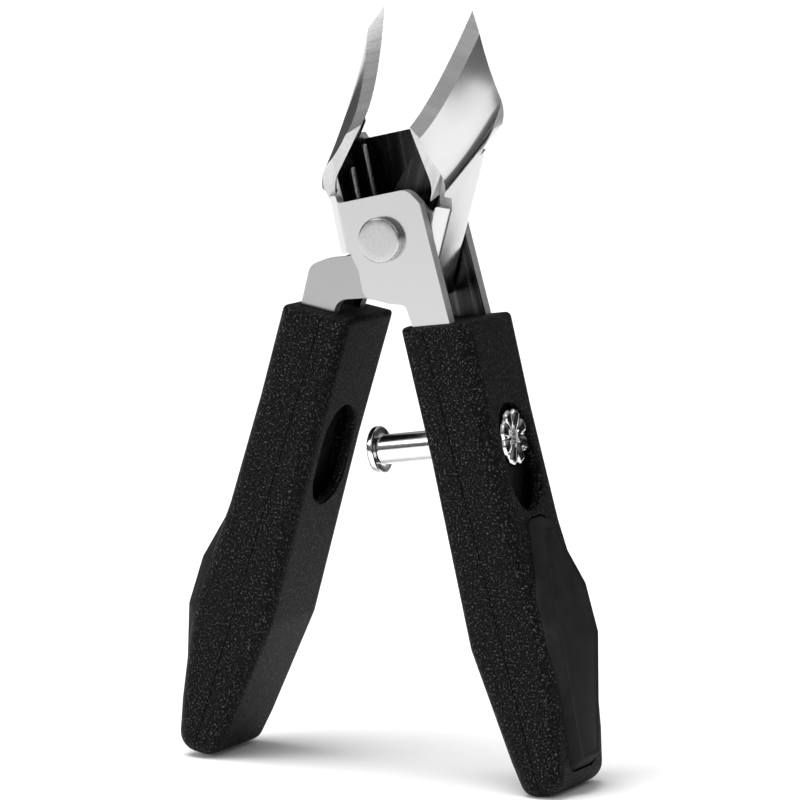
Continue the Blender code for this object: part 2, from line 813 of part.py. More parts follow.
def build_slide(frame):
    """Plate behind the slot of the right handle, clamped between the stud and the fluted screw."""
    back = 7.5 * MM
    front = 8.7 * MM
    corners = [(-6.3, -18.6, 1.5), (6.3, -18.6, 1.5), (6.3, -43.9, 1.5), (-6.3, -43.9, 1.5)]
    outline = [(LOCK_Z - z, y) for y, z in rounded(scaled(corners), 3)]
    plate = prism_xy(outline, back, front)
    bmesh.ops.transform(plate, matrix=lock_axis(), verts=plate.verts)
    slide = make_object("lock_slide", plate, frame, "black_plastic")
    hole = turned(rod(1.4 * MM, back - 1 * MM, front + 1 * MM), lock_axis(), 20)
    boolean(slide, make_cutter("lock_slide_hole", hole, frame))


def build_spring_washer(frame):
    profile = tube_profile(1.5 * MM, 3.6 * MM, 8.8 * MM, 9.2 * MM)
    make_object("lock_spring_washer", turned(profile, lock_axis(), 24), frame, "spring_steel")


def cut_lock_openings(right, left, frame_a, frame_b):
    slot = prism_yz(stadium(SLOT_HALF_WIDTH, SLOT_END, SLOT_TOP), 8.4 * MM, 16 * MM)
    boolean(right["outer"], make_cutter("lock_slot", slot, frame_a))
    half = STUD_RADIUS + 0.4 * MM
    guide = prism_yz(stadium(half, LOCK_Z - LOCK_TRAVEL - half, LOCK_Z + half + 0.6 * MM), -4 * MM, 4 * MM)
    boolean(right["inner"], make_cutter("lock_stud_slot", guide, frame_a))
    mouth = prism_yz(stadium(4.5 * MM, -42.0 * MM, -27.0 * MM), -5 * MM, -0.5 * MM)
    boolean(left["inner"], make_cutter("lock_mouth", mouth, frame_b))


def build_catch_plate(frame):
    """Keyhole plate across the left handle's cavity: wide above for the flange, narrow below for the shank."""
    near, far = -6.4 * MM, -7.2 * MM
    corners = scaled([(-6.9, -24.8, 0.8), (6.9, -24.8, 0.8), (6.9, -46.0, 0.8), (-6.9, -46.0, 0.8)])
    plate = make_object("lock_catch_plate", prism_yz(rounded(corners, 3), far, near), frame, "black_oxide")
    wide = prism_yz(arc((0.0, KEYHOLE_Z), 4.3 * MM, 0, 345, 23), far - 1 * MM, near + 1 * MM)
    boolean(plate, make_cutter("keyhole_wide", wide, frame))
    narrow = prism_yz(stadium(2.6 * MM, -41.0 * MM, KEYHOLE_Z + 3 * MM), far - 1 * MM, near + 1 * MM)
    boolean(plate, make_cutter("keyhole_narrow", narrow, frame))


# ---------------------------------------------------------------- assembly
def main():
    clear_scene()
    frame_a = lever_frame("outer_lever_frame", -OPEN_LEAN)
    frame_b = lever_frame("inner_lever_frame", OPEN_LEAN)
    outline_a, outline_b = outer_plate_outline(), inner_plate_outline()
    depth_a, depth_b = OUTER_HALF_DEPTH, INNER_HALF_DEPTH
    outer = build_lever("outer_lever", frame_a, 1, depth_a, OUTER_FRONT_CORNER, OUTER_EDGE_X, outline_a)
    inner = build_lever("inner_lever", frame_b, -1, depth_b, INNER_FRONT_CORNER, INNER_EDGE_X, outline_b)
    build_rivet(frame_a)
    build_sleeve(frame_a)
    build_spring(frame_a)
    right_pins = (-19.0 * MM, -23.4 * MM)
    left_pins = (-18.6 * MM, -22.2 * MM)
    tang_a = (1.6 * MM, 8.2 * MM, OUTER_HALF_DEPTH)
    tang_b = (5.3 * MM, 11.3 * MM, INNER_HALF_DEPTH)
    right = build_handle("right", frame_a, 1, RIGHT_SHIFT, tang_a, right_pins)
    left = build_handle("left", frame_b, -1, LEFT_SHIFT, tang_b, left_pins)
    for lever, frame, side, shift, heights in (
        (outer, frame_a, 1, RIGHT_SHIFT, right_pins),
        (inner, frame_b, -1, LEFT_SHIFT, left_pins),
    ):
        for number, (x, z) in enumerate(pin_places(shift, heights)):
            hole = turned(rod(1.2 * MM + FIT_GAP, -9 * MM, 9 * MM), along_y(side * x, 0.0, z), 20)
            boolean(lever, make_cutter(f"{lever.name}_pin_hole_{number}", hole, frame))
    build_stud(frame_a)
    build_lock_screw(frame_a)
    build_slide(frame_a)
    build_spring_washer(frame_a)
    cut_lock_openings(right, left, frame_a, frame_b)
    build_catch_plate(frame_b)


main()
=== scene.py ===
"""Looks of the plier-type nail clipper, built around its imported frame.

Every piece is modelled in the frame of the lever that carries it: origin on the rivet's axis, +Z towards the
cutting edge, -Y to the front. Lever A has the left jaw and the right handle, and lever B mirrors it.
"""

import json
import math

import bmesh
import bpy
from mathutils import Matrix, Vector


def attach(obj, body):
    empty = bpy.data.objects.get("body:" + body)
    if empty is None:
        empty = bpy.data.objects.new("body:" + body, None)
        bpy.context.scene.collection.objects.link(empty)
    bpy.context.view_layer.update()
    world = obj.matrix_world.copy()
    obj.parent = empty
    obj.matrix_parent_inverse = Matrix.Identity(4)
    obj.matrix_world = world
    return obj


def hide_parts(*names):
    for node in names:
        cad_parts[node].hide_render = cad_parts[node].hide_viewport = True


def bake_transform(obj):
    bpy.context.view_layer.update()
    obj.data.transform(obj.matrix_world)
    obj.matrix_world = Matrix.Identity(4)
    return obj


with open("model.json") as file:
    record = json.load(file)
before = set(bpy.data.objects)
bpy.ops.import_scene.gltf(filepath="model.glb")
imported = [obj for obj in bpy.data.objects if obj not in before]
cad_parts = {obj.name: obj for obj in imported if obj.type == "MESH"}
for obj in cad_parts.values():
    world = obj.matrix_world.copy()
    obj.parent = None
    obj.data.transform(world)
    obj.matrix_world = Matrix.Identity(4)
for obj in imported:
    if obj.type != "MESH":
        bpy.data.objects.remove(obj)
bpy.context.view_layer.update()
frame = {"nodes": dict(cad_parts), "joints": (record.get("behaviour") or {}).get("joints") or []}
JOINTS = {joint["name"]: joint for joint in frame["joints"]}
BODY_A = "outer_lever_body"
BODY_B = "inner_lever_body"
BODY_LOCK = "lock_body"

MM = 0.001
PIVOT = Vector(JOINTS["lever_hinge"]["pos_m"])
OPEN_LEAN = math.asin(JOINTS["lock_slide_travel"]["axis"][0])
LEVER_A = Matrix.Translation(PIVOT) @ Matrix.Rotation(-OPEN_LEAN, 4, "Y")
LEVER_B = Matrix.Translation(PIVOT) @ Matrix.Rotation(OPEN_LEAN, 4, "Y")

# Sheet metal
SHEET = 1.8 * MM
WEB_X = 7.8 * MM
OUTER_HALF_DEPTH = 7.0 * MM
INNER_HALF_DEPTH = 5.1 * MM
OUTER_FRONT_CORNER = (5.4 * MM, 6.4 * MM)
INNER_FRONT_CORNER = (2.6 * MM, 5.6 * MM)
BEND_RADIUS = 2.0 * MM
FLAP_STATIONS = 29
EDGE_FRONT_Y = -6.2 * MM
EDGE_REAR_Y = 7.0 * MM
EDGE_FRONT_Z = 16.8 * MM
EDGE_REAR_Z = 33.3 * MM
EDGE_HOLLOW = 2.2 * MM
OUTER_EDGE_X = (0.0, 0.9 * MM)
INNER_EDGE_X = (0.5 * MM, 1.2 * MM)
EDGE_LAND = 0.12 * MM
FLAP_PROUD = 0.06 * MM
FOLD_FRONT_Z = 10.8 * MM
FOLD_REAR_Z = 20.6 * MM
FOLD_REACH = 1.8 * MM

# Rivet and spring
PIN_RADIUS = 2.0 * MM
RUNNING_GAP = 0.08 * MM
TANG_PIN_RADIUS = 1.2 * MM
THROUGH = 9.0 * MM
RIVET_HEAD_RADIUS = 3.3 * MM
RIVET_HEAD_HEIGHT = 1.35 * MM
WIRE_RADIUS = 0.45 * MM
COIL_RADIUS = 4.75 * MM

# Handles and pads
HANDLE_HALF_DEPTH = 8.5 * MM
HANDLE_ROUND = 2.3 * MM
WALL = 1.35 * MM
SEAM_GAP = 0.13 * MM
CAVITY_TOP = -16.3 * MM
CAVITY_END = -51.5 * MM
RIGHT_SHIFT = -0.9 * MM
LEFT_SHIFT = 0.9 * MM
FIT_GAP = 0.15 * MM
PAD_BACK_X = 11.4 * MM
LIP_RADIUS = 0.5 * MM

# Lock
LOCK_Z = -30.9 * MM
LOCK_LEAN = math.radians(4.4)
LOCK_TRAVEL = 6.2 * MM
STUD_RADIUS = 2.2 * MM
FLANGE_RADIUS = 3.5 * MM
FLANGE_X = -11.4 * MM
KNOB_RADIUS = 4.25 * MM
KNOB_FACE_X = 11.3 * MM
FLUTES = 8
SLOT_HALF_WIDTH = 5.0 * MM
SLOT_TOP = -26.6 * MM
SLOT_END = -42.7 * MM

# Faces of a lever, by material slot
POLISHED, GROUND, CUT_EDGE, INSIDE_SHADE, PLATE = range(5)

# Sides of a flap section, counted from the foot of the web's outer face
GROUND_SIDES = range(12, 15)
# These flap sides take the steel painted dark as the shade inside the jaw.
INSIDE_SHADE_SIDES = range(17, 25)


# ---------------------------------------------------------------- material nodes
class Nodes:
    """One material's node tree, with short ways to add and join nodes."""

    def __init__(self, name, along_lever=False, **sockets):
        self.along_lever = along_lever
        self.material = bpy.data.materials.new(name)
        self.material.use_nodes = True
        self.tree = self.material.node_tree
        self.shader = self.tree.nodes["Principled BSDF"]
        for socket, value in sockets.items():
            self.shader.inputs[socket.replace("_", " ")].default_value = value

    def add(self, kind, **settings):
        node = self.tree.nodes.new("ShaderNode" + kind)
        for name, value in settings.items():
            setattr(node, name, value)
        return node

    def join(self, out, into):
        self.tree.links.new(out, into)

    def place(self, scale):
        """Coordinates stretched by scale: the lever's frame for worked steel, else the object's own."""
        if self.along_lever:
            source = self.add("Attribute", attribute_name="lever_place").outputs["Vector"]
        else:
            source = self.add("TexCoord").outputs["Object"]
        mapping = self.add("Mapping")
        mapping.inputs["Scale"].default_value = scale
        self.join(source, mapping.inputs["Vector"])
        return mapping.outputs["Vector"]

    def noise(self, scale, detail=2.0, roughness=0.5):
        texture = self.add("TexNoise")
        texture.inputs["Scale"].default_value = 1.0
        texture.inputs["Detail"].default_value = detail
        texture.inputs["Roughness"].default_value = roughness
        self.join(self.place(scale), texture.inputs["Vector"])
        return texture.outputs["Fac"]

    def ranged(self, value, low, high, to_low, to_high):
        node = self.add("MapRange")
        node.inputs["From Min"].default_value = low
        node.inputs["From Max"].default_value = high
        node.inputs["To Min"].default_value = to_low
        node.inputs["To Max"].default_value = to_high
        self.join(value, node.inputs["Value"])
        return node.outputs["Result"]

    def ramp(self, value, *stops):
        node = self.add("ValToRGB")
        elements = node.color_ramp.elements
        while len(elements) < len(stops):
            elements.new(0.5)
        for element, (place, level) in zip(elements, stops):
            element.position = place
            element.color = (level, level, level, 1.0)
        self.join(value, node.inputs["Fac"])
        return node.outputs["Color"]

    def colour(self, value):
        self.join(value, self.shader.inputs["Base Color"])

    def roughness(self, value):
        self.join(value, self.shader.inputs["Roughness"])

    def bump(self, height, distance, strength=1.0):
        node = self.add("Bump")
        node.inputs["Distance"].default_value = distance
        node.inputs["Strength"].default_value = strength
        self.join(height, node.inputs["Height"])
        previous = self.shader.inputs["Normal"].links
        if previous:
            self.join(previous[0].from_socket, node.inputs["Normal"])
        self.join(node.outputs["Normal"], self.shader.inputs["Normal"])


def polished_steel(name, low, high):
    """Rolled and polished sheet: long faint streaks along the lever and a soft cloudiness."""
    nodes = Nodes(name, True, Metallic=1.0)
    streaks = nodes.noise((2600.0, 2600.0, 90.0), 3.0)
    clouds = nodes.noise((120.0, 120.0, 120.0), 2.0)
    nodes.colour(nodes.ramp(clouds, (0.25, low), (0.75, high)))
    nodes.roughness(nodes.ranged(clouds, 0.3, 0.7, 0.15, 0.22))
    nodes.bump(streaks, 0.0000015)
    return nodes.material


def ground_steel():
    """Grinding marks that run straight across the cutting edge."""
    nodes = Nodes("edge_ground", True, Metallic=1.0)
    lines = nodes.noise((60.0, 2200.0, 2600.0), 3.0, 0.65)
    wide = nodes.noise((30.0, 260.0, 330.0), 2.0)
    nodes.colour(nodes.ramp(wide, (0.3, 0.58), (0.7, 0.74)))
    nodes.roughness(nodes.ranged(lines, 0.3, 0.7, 0.2, 0.34))
    nodes.bump(lines, 0.000006)
    return nodes.material


def cut_edge_steel():
    nodes = Nodes("edge_cut", True, Metallic=0.8)
    grain = nodes.noise((1500.0, 4200.0, 1500.0), 3.0)
    nodes.colour(nodes.ramp(grain, (0.3, 0.52), (0.7, 0.64)))
    nodes.roughness(nodes.ranged(grain, 0.3, 0.7, 0.34, 0.46))
    nodes.bump(grain, 0.000004)
    return nodes.material


def inside_steel_painted_shade():
    """The channel's inner faces are painted dark, as painted shade and dark reflection inside the channel,
    drawn out in upright streaks.
    """
    nodes = Nodes("sheet_inside_painted_shade", True, Metallic=1.0)
    streaks = nodes.noise((900.0, 900.0, 26.0), 4.0, 0.6)
    nodes.colour(nodes.ramp(streaks, (0.3, 0.012), (0.55, 0.035), (0.78, 0.16)))
    nodes.roughness(nodes.ranged(streaks, 0.3, 0.7, 0.16, 0.34))
    nodes.bump(streaks, 0.000006)
    return nodes.material


def satin_chrome(name, level, rough):
    nodes = Nodes(name, Metallic=1.0)
    haze = nodes.noise((700.0, 700.0, 700.0), 3.0)
    nodes.colour(nodes.ramp(haze, (0.3, level - 0.05), (0.7, level + 0.03)))
    nodes.roughness(nodes.ranged(haze, 0.3, 0.7, rough * 0.8, rough * 1.25))
    nodes.bump(nodes.noise((5200.0, 5200.0, 5200.0)), 0.0000006)
    return nodes.material


def drawn_wire():
    nodes = Nodes("wire_drawn", Metallic=1.0)
    scratches = nodes.noise((3800.0, 3800.0, 1400.0), 3.0, 0.7)
    nodes.colour(nodes.ramp(scratches, (0.3, 0.25), (0.7, 0.62)))
    nodes.roughness(nodes.ranged(scratches, 0.3, 0.7, 0.24, 0.4))
    nodes.bump(scratches, 0.00004)
    return nodes.material


def grained_plastic():
    """Spark-grained moulding: a fine grain with scattered brighter peaks."""
    nodes = Nodes("handle_grain", Specular_IOR_Level=0.08)
    grain = nodes.noise((3300.0, 3300.0, 3300.0), 3.0, 0.6)
    fine = nodes.noise((7600.0, 7600.0, 7600.0), 2.0)
    nodes.colour(nodes.ramp(grain, (0.42, 0.001), (0.57, 0.005), (0.74, 0.09)))
    nodes.roughness(nodes.ranged(fine, 0.3, 0.7, 0.42, 0.62))
    nodes.bump(grain, 0.00018, 0.9)
    nodes.bump(fine, 0.00003, 0.7)
    return nodes.material


def pad_rubber():
    nodes = Nodes("pad_rubber", Specular_IOR_Level=0.1)
    clouds = nodes.noise((260.0, 260.0, 260.0), 3.0)
    fine = nodes.noise((5200.0, 5200.0, 5200.0), 2.0)
    nodes.colour(nodes.ramp(clouds, (0.3, 0.006), (0.7, 0.014)))
    nodes.roughness(nodes.ranged(clouds, 0.3, 0.7, 0.55, 0.7))
    nodes.bump(fine, 0.00003, 0.6)
    return nodes.material


def dark_finish(name, level, rough):
    """Near-black parts seen only inside the handles' openings: the moulded slide, and the steel catch plate
    painted dark as shade.
    """
    nodes = Nodes(name, Specular_IOR_Level=0.3)
    mottle = nodes.noise((900.0, 900.0, 900.0), 3.0)
    nodes.colour(nodes.ramp(mottle, (0.3, level * 0.6), (0.7, level * 1.4)))
    nodes.roughness(nodes.ranged(mottle, 0.3, 0.7, rough * 0.85, rough * 1.15))
    nodes.bump(nodes.noise((3000.0, 3000.0, 3000.0)), 0.00002, 0.6)
    return nodes.material


# ---------------------------------------------------------------- mesh helpers
def blend(a, b, share):
    return a + (b - a) * share


def mirrored(outline, side):
    """Outline for one side: side is 1 as drawn, -1 mirrored across x = 0."""
    return [(side * point[0],) + tuple(point[1:]) for point in outline]


def scaled(corners):
    """Corners written in millimetres, as metres."""
    return [tuple(value * MM for value in corner) for corner in corners]


def shifted(corners, shift):
    return [(corner[0] + shift,) + tuple(corner[1:]) for corner in corners]


def rounded(corners, steps=8):
    """Closed outline whose corners are (a, b, radius), each turned into an arc tangent to both sides."""
    points = []
    count = len(corners)
    for i in range(count):
        before = Vector(corners[i - 1][:2])
        here = Vector(corners[i][:2])
        after = Vector(corners[(i + 1) % count][:2])
        radius = corners[i][2]
        if radius <= 0.0:
            points.append((here.x, here.y))
            continue
        to_before = (before - here).normalized()
        to_after = (after - here).normalized()
        half = to_before.angle(to_after) / 2
        centre = here + (to_before + to_after).normalized() * (radius / math.sin(half))
        first = here + to_before * (radius / math.tan(half)) - centre
        last = here + to_after * (radius / math.tan(half)) - centre
        turn = math.atan2(first.x * last.y - first.y * last.x, first.dot(last))
        for k in range(steps + 1):
            spin = Matrix.Rotation(turn * k / steps, 2)
            point = centre + spin @ first
            points.append((point.x, point.y))
    return points


def inset_corners(corners, shares, distance):
    """The same corners with each side moved inwards by its own share of the distance."""
    moved = []
    count = len(corners)
    for i in range(count):
        before = Vector(corners[i - 1][:2])
        here = Vector(corners[i][:2])
        after = Vector(corners[(i + 1) % count][:2])
        side_in = (here - before).normalized()
        side_out = (after - here).normalized()
        normal_in = Vector((-side_in.y, side_in.x))
        normal_out = Vector((-side_out.y, side_out.x))
        start = before + normal_in * distance * shares[i - 1]
        other = here + normal_out * distance * shares[i]
        turn = side_in.x * side_out.y - side_in.y * side_out.x
        gap = other - start
        along = (gap.x * side_out.y - gap.y * side_out.x) / turn
        point = start + side_in * along
        radius = max(corners[i][2] - distance * shares[i], 0.1 * MM)
        moved.append((point.x, point.y, radius))
    return moved


def stadium(half_width, low, high, steps=24):
    """Slot outline in (y, z) with round ends."""
    points = []
    for centre, start in ((high - half_width, 0.0), (low + half_width, math.pi)):
        for i in range(steps + 1):
            angle = start + math.pi * i / steps
            points.append((half_width * math.cos(angle), centre + half_width * math.sin(angle)))
    return points


def loft(loops, closed_ends=True):
    """Skin through closed loops of equal length, one quad ring between each pair."""
    bm = bmesh.new()
    rings = [[bm.verts.new(point) for point in loop] for loop in loops]
    for one, two in zip(rings, rings[1:]):
        for i in range(len(one)):
            j = (i + 1) % len(one)
            bm.faces.new((one[i], two[i], two[j], one[j]))
    if closed_ends:
        bm.faces.new(rings[0])
        bm.faces.new(reversed(rings[-1]))
    return bm


def prism_xz(outline, low, high):
    return loft([[(x, depth, z) for x, z in outline] for depth in (low, high)])


def prism_yz(outline, low, high):
    return loft([[(depth, y, z) for y, z in outline] for depth in (low, high)])


def turned(profile, matrix, steps=64, reshape=None):
    """Solid turned about local Z from (radius, height) points, which reshape may vary with the angle."""
    bm = bmesh.new()
    rings = []
    for radius, height in profile:
        if radius < 1e-9:
            rings.append([bm.verts.new((0.0, 0.0, height))])
            continue
        ring = []
        for i in range(steps):
            angle = 2 * math.pi * i / steps
            r, h = reshape(radius, height, angle) if reshape else (radius, height)
            ring.append(bm.verts.new((r * math.cos(angle), r * math.sin(angle), h)))
        rings.append(ring)
    for k in range(len(rings) - 1):
        one, two = rings[k], rings[k + 1]
        for i in range(steps):
            j = (i + 1) % steps
            corners = [one[i % len(one)], one[j % len(one)], two[j % len(two)], two[i % len(two)]]
            bm.faces.new(list(dict.fromkeys(corners)))
    bmesh.ops.transform(bm, matrix=matrix, verts=bm.verts)
    return bm


def fillet(r0, h0, r1, h1, bulge, steps=6):
    """Quarter round from (r0, h0) to (r1, h1). With bulge 1 the radius moves first, with 0 the height."""
    points = []
    for i in range(steps + 1):
        angle = math.pi / 2 * i / steps
        a, b = math.sin(angle), 1 - math.cos(angle)
        first, last = (a, b) if bulge else (b, a)
        points.append((blend(r0, r1, first), blend(h0, h1, last)))
    return points


def along_y(x=0.0, y=0.0, z=0.0):
    """Turning axis along +Y through the given point."""
    return Matrix.Translation((x, y, z)) @ Matrix.Rotation(-math.pi / 2, 4, "X")


def along_x(x=0.0):
    return Matrix.Translation((x, 0.0, 0.0)) @ Matrix.Rotation(math.pi / 2, 4, "Y")


def lock_axis():
    """Turning axis of the lock stud, leaning a little in its slot."""
    return Matrix.Translation((0.0, 0.0, LOCK_Z)) @ Matrix.Rotation(LOCK_LEAN, 4, "Y") @ along_x()


def rod(radius, low, high):
    return [(0.0, low), (radius, low), (radius, high), (0.0, high)]


def mesh_object(name, bm, slot_index=0):
    bmesh.ops.recalc_face_normals(bm, faces=bm.faces)
    for face in bm.faces:
        face.material_index = max(face.material_index, slot_index)
    mesh = bpy.data.meshes.new(name)
    bm.to_mesh(mesh)
    bm.free()
    obj = bpy.data.objects.new(name, mesh)
    bpy.context.scene.collection.objects.link(obj)
    return obj


def cut(obj, bm, operation="DIFFERENCE", slot_index=0, materials=()):
    """Boolean of the solid in bm on obj, applied at once."""
    cutter = mesh_object("cutter", bm, slot_index)
    for material in materials:
        cutter.data.materials.append(material)
    modifier = obj.modifiers.new("cut", "BOOLEAN")
    modifier.operation = operation
    modifier.object = cutter
    modifier.solver = "EXACT"
    bpy.context.view_layer.update()
    result = bpy.data.meshes.new_from_object(obj.evaluated_get(bpy.context.evaluated_depsgraph_get()))
    obj.modifiers.clear()
    obj.data = result
    bpy.data.objects.remove(cutter)


def keep_lever_place(mesh):
    """Stores each point's place in the lever's frame, which the grain of the metal follows."""
    places = mesh.attributes.new("lever_place", "FLOAT_VECTOR", "POINT")
    places.data.foreach_set("vector", [value for vertex in mesh.vertices for value in vertex.co])


def finished(obj, matrix, body, nodes, materials, smooth_angle=30.0):
    """Places a piece, shades it, and ties it to its CAD body, nodes and finish."""
    for material in materials[len(obj.data.materials) :]:
        obj.data.materials.append(material)
    obj.data.shade_smooth()
    obj.data.set_sharp_from_angle(angle=math.radians(smooth_angle))
    keep_lever_place(obj.data)
    obj.data.transform(matrix)
    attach(obj, body)
    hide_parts(*nodes)
    return obj


# ---------------------------------------------------------------- levers
def curve_between(start, corner, end, steps):
    """Smooth turn from start to end, drawn towards corner."""
    points = []
    for i in range(steps + 1):
        t = i / steps
        points.append(start * (1 - t) ** 2 + corner * 2 * t * (1 - t) + end * t**2)
    return points


def flap_section(share, half_depth, edge_x, side):
    """Closed section of the web and the bent jaw flap at one station, front (0) to rear (1)."""
    y = blend(-OUTER_HALF_DEPTH, OUTER_HALF_DEPTH, share)
    root = half_depth - BEND_RADIUS
    root_y = blend(-root, root, share)
    step = half_depth - BEND_RADIUS * 0.35
    step_y = blend(-step, step, share)
    web_out = -WEB_X - FLAP_PROUD
    web_in = -WEB_X + SHEET + FLAP_PROUD
    fold_z = blend(FOLD_FRONT_Z, FOLD_REAR_Z, share)
    low_z = fold_z - 4.2 * MM
    edge_y = blend(EDGE_FRONT_Y, EDGE_REAR_Y, share)
    edge_z = blend(EDGE_FRONT_Z, EDGE_REAR_Z, share) - EDGE_HOLLOW * 4 * share * (1 - share)
    edge = Vector((blend(edge_x[0], edge_x[1], share), edge_y, edge_z))
    ground = edge - Vector((blend(2.4, 2.75, share), blend(0.8, 1.4, share), blend(0.9, 2.7, share))) * MM
    fold_out = Vector((web_out, y, fold_z))
    fold_in = Vector((web_in, y, fold_z - 0.75 * SHEET))
    up_out = (ground - fold_out).normalized()
    up_in = (edge - fold_in).normalized()
    drop = Vector((0.0, 0.0, -FOLD_REACH))
    outer_fold = curve_between(fold_out + drop, fold_out, fold_out + up_out * FOLD_REACH, 6)
    inner_fold = curve_between(fold_in + up_in * FOLD_REACH, fold_in, fold_in + drop, 5)
    step_z = fold_z - 2.3 * MM
    points = [Vector((web_out, root_y, low_z)), Vector((web_out, step_y, step_z))]
    points += outer_fold
    for k in (1, 2, 3):
        crown = Vector((0.2, 0.0, -0.12)) * MM * math.sin(math.pi * k / 4)
        points.append(blend(outer_fold[-1], ground, k / 4) + crown)
    points += [ground, blend(ground, edge - Vector((EDGE_LAND, 0.0, 0.0)), 0.5)]
    points += [edge - Vector((EDGE_LAND, 0.0, 0.0)), edge - Vector((EDGE_LAND, 0.0, EDGE_LAND))]
    points += [blend(edge, inner_fold[0], 0.5)]
    points += inner_fold
    points += [Vector((web_in, step_y, step_z)), Vector((web_in, root_y, low_z))]
    return [Vector((side * point.x, point.y, point.z)) for point in points]


def flap_mesh(half_depth, edge_x, side):
    """The jaw: web below, fold, flap and the two ground facets beside the cutting edge."""
    shares = [i / (FLAP_STATIONS - 1) for i in range(FLAP_STATIONS)]
    bm = loft([flap_section(share, half_depth, edge_x, side) for share in shares])
    count = len(flap_section(0.0, half_depth, edge_x, side))
    bm.faces.ensure_lookup_table()
    for number in range((FLAP_STATIONS - 1) * count):
        place = number % count
        if place in GROUND_SIDES:
            bm.faces[number].material_index = GROUND
        elif place in INSIDE_SHADE_SIDES:
            bm.faces[number].material_index = INSIDE_SHADE
    bm.faces[-1].material_index = CUT_EDGE
    bm.faces[-2].material_index = CUT_EDGE
    bmesh.ops.triangulate(bm, faces=bm.faces)
    return bm


def channel_mesh(half_depth, side, low, high):
    """U section, open on the side away from the web, with its inner faces marked INSIDE_SHADE."""
    reach = 14.0 * MM
    outer = BEND_RADIUS
    inner = BEND_RADIUS - SHEET
    y = half_depth
    corners = [
        (-WEB_X, -y, outer),
        (reach, -y, 0.0),
        (reach, -y + SHEET, 0.0),
        (-WEB_X + SHEET, -y + SHEET, inner),
        (-WEB_X + SHEET, y - SHEET, inner),
        (reach, y - SHEET, 0.0),
        (reach, y, 0.0),
        (-WEB_X, y, outer),
    ]
    outline = mirrored(rounded(corners, 10), side)
    bm = loft([[(x, depth, height) for x, depth in outline] for height in (low, high)])
    # Faces inside the channel get the steel painted dark, as painted shade and dark reflection.
    limit_y = half_depth - SHEET * 0.9
    for face in bm.faces:
        centre = face.calc_center_median()
        within = abs(centre.y) < limit_y and abs(centre.x) < WEB_X - SHEET * 0.9
        if within and abs(face.normal.z) < 0.5:
            face.material_index = INSIDE_SHADE
    return bm


def outer_plate_outline():
    """Side outline of lever A's channel, in millimetres: left web, right tang."""
    return scaled(
        [
            (-8.6, 16.0, 0),
            (-8.6, -0.7, 0),
            (-5.6, -1.0, 0.4),
            (-4.8, -3.6, 1.2),
            (-4.8, -7.6, 1.4),
            (-1.0, -9.3, 2.0),
            (1.5, -9.9, 1.0),
            (2.0, -13.5, 0),
            (2.2, -26.0, 1.0),
            (7.6, -26.0, 1.0),
            (7.9, -13.5, 0),
            (6.9, 6.4, 1.6),
            (2.6, 15.0, 1.6),
            (-5.9, 15.0, 0),
            (-6.3, 16.0, 0),
        ]
    )


def inner_plate_outline():
    """Side outline of lever B's channel, drawn with its web on the left and its tang on the right."""
    return scaled(
        [
            (-8.6, 15.0, 0),
            (-8.6, -6.2, 0),
            (-5.0, -8.6, 1.0),
            (1.5, -9.6, 3.0),
            (5.6, -11.2, 2.2),
            (5.6, -16.8, 0.8),
            (4.0, -18.0, 0.4),
            (4.0, -24.3, 1.0),
            (10.4, -24.3, 1.0),
            (11.0, -14.0, 0),
            (11.1, -7.6, 2.0),
            (8.6, -5.75, 1.0),
            (4.6, -4.1, 0.4),
            (4.6, -2.4, 0.4),
            (5.5, 0.0, 2.0),
            (5.2, 2.6, 0),
            (4.4, 6.4, 1.0),
            (2.0, 14.2, 1.4),
            (-5.9, 14.2, 0),
            (-6.3, 15.0, 0),
        ]
    )


def front_window(corner_x, front_top):
    """Outline of what is cut away above a front plate: a relief notch at the web, a round outer corner."""
    high, far = 17.0 * MM, 9.2 * MM
    notch_x, notch_z = -6.0 * MM, front_top + 1.2 * MM
    return [
        (-8.9 * MM, high, 0.0),
        (-8.9 * MM, notch_z, 0.0),
        (notch_x, notch_z, 0.5 * MM),
        (notch_x, front_top, 0.5 * MM),
        (corner_x, front_top, 2.2 * MM),
        (corner_x + 2.2 * MM, front_top - 3.2 * MM, 0.8 * MM),
        (far, front_top - 4.0 * MM, 0.0),
        (far, high, 0.0),
    ]


def build_lever(name, node, side, half_depth, front_corner, edge_x, outline, matrix, body, pins, materials):
    """Channel cut to its side outline, front plate cut low, then the jaw flap joined on the web."""
    reach = 12.0 * MM
    lever = mesh_object(name, channel_mesh(half_depth, side, -30 * MM, 20 * MM))
    for material in materials:
        lever.data.materials.append(material)
    keep = prism_xz(mirrored(rounded(outline, 8), side), -reach, reach)
    cut(lever, keep, "INTERSECT", CUT_EDGE, materials)
    window = front_window(*front_corner)
    depths = (-half_depth - 1 * MM, -half_depth + SHEET + 0.4 * MM)
    cut(lever, prism_xz(mirrored(rounded(window, 8), side), *depths), "DIFFERENCE", CUT_EDGE, materials)
    above = scaled([(-9.0, 8.4), (9.0, 18.2), (9.0, 21.0), (-9.0, 21.0)])
    web_top = prism_yz(above, -side * 9.5 * MM, -side * (WEB_X - SHEET - 0.05 * MM))
    cut(lever, web_top, "DIFFERENCE", CUT_EDGE, materials)
    cut(lever, flap_mesh(half_depth, edge_x, side), "UNION", POLISHED, materials)
    rivet_hole = turned(rod(PIN_RADIUS + RUNNING_GAP, -THROUGH, THROUGH), along_y())
    cut(lever, rivet_hole, "DIFFERENCE", CUT_EDGE, materials)
    for x, z in pins:
        hole = turned(rod(TANG_PIN_RADIUS + FIT_GAP, -THROUGH, THROUGH), along_y(side * x, 0.0, z), 32)
        cut(lever, hole, "DIFFERENCE", CUT_EDGE, materials)
    return finished(lever, matrix, body, [node], materials, 24.0)


def darken_plates(lever, low, high):
    """Gives a lever's flat side plates their own darker copy of the polished steel, which on lever B is
    painted shade.
    """
    lever.data.materials.append(polished_steel(lever.name + "_plates", low, high))
    for face in lever.data.polygons:
        if face.material_index == POLISHED and abs(face.normal.y) > 0.98:
            face.material_index = PLATE


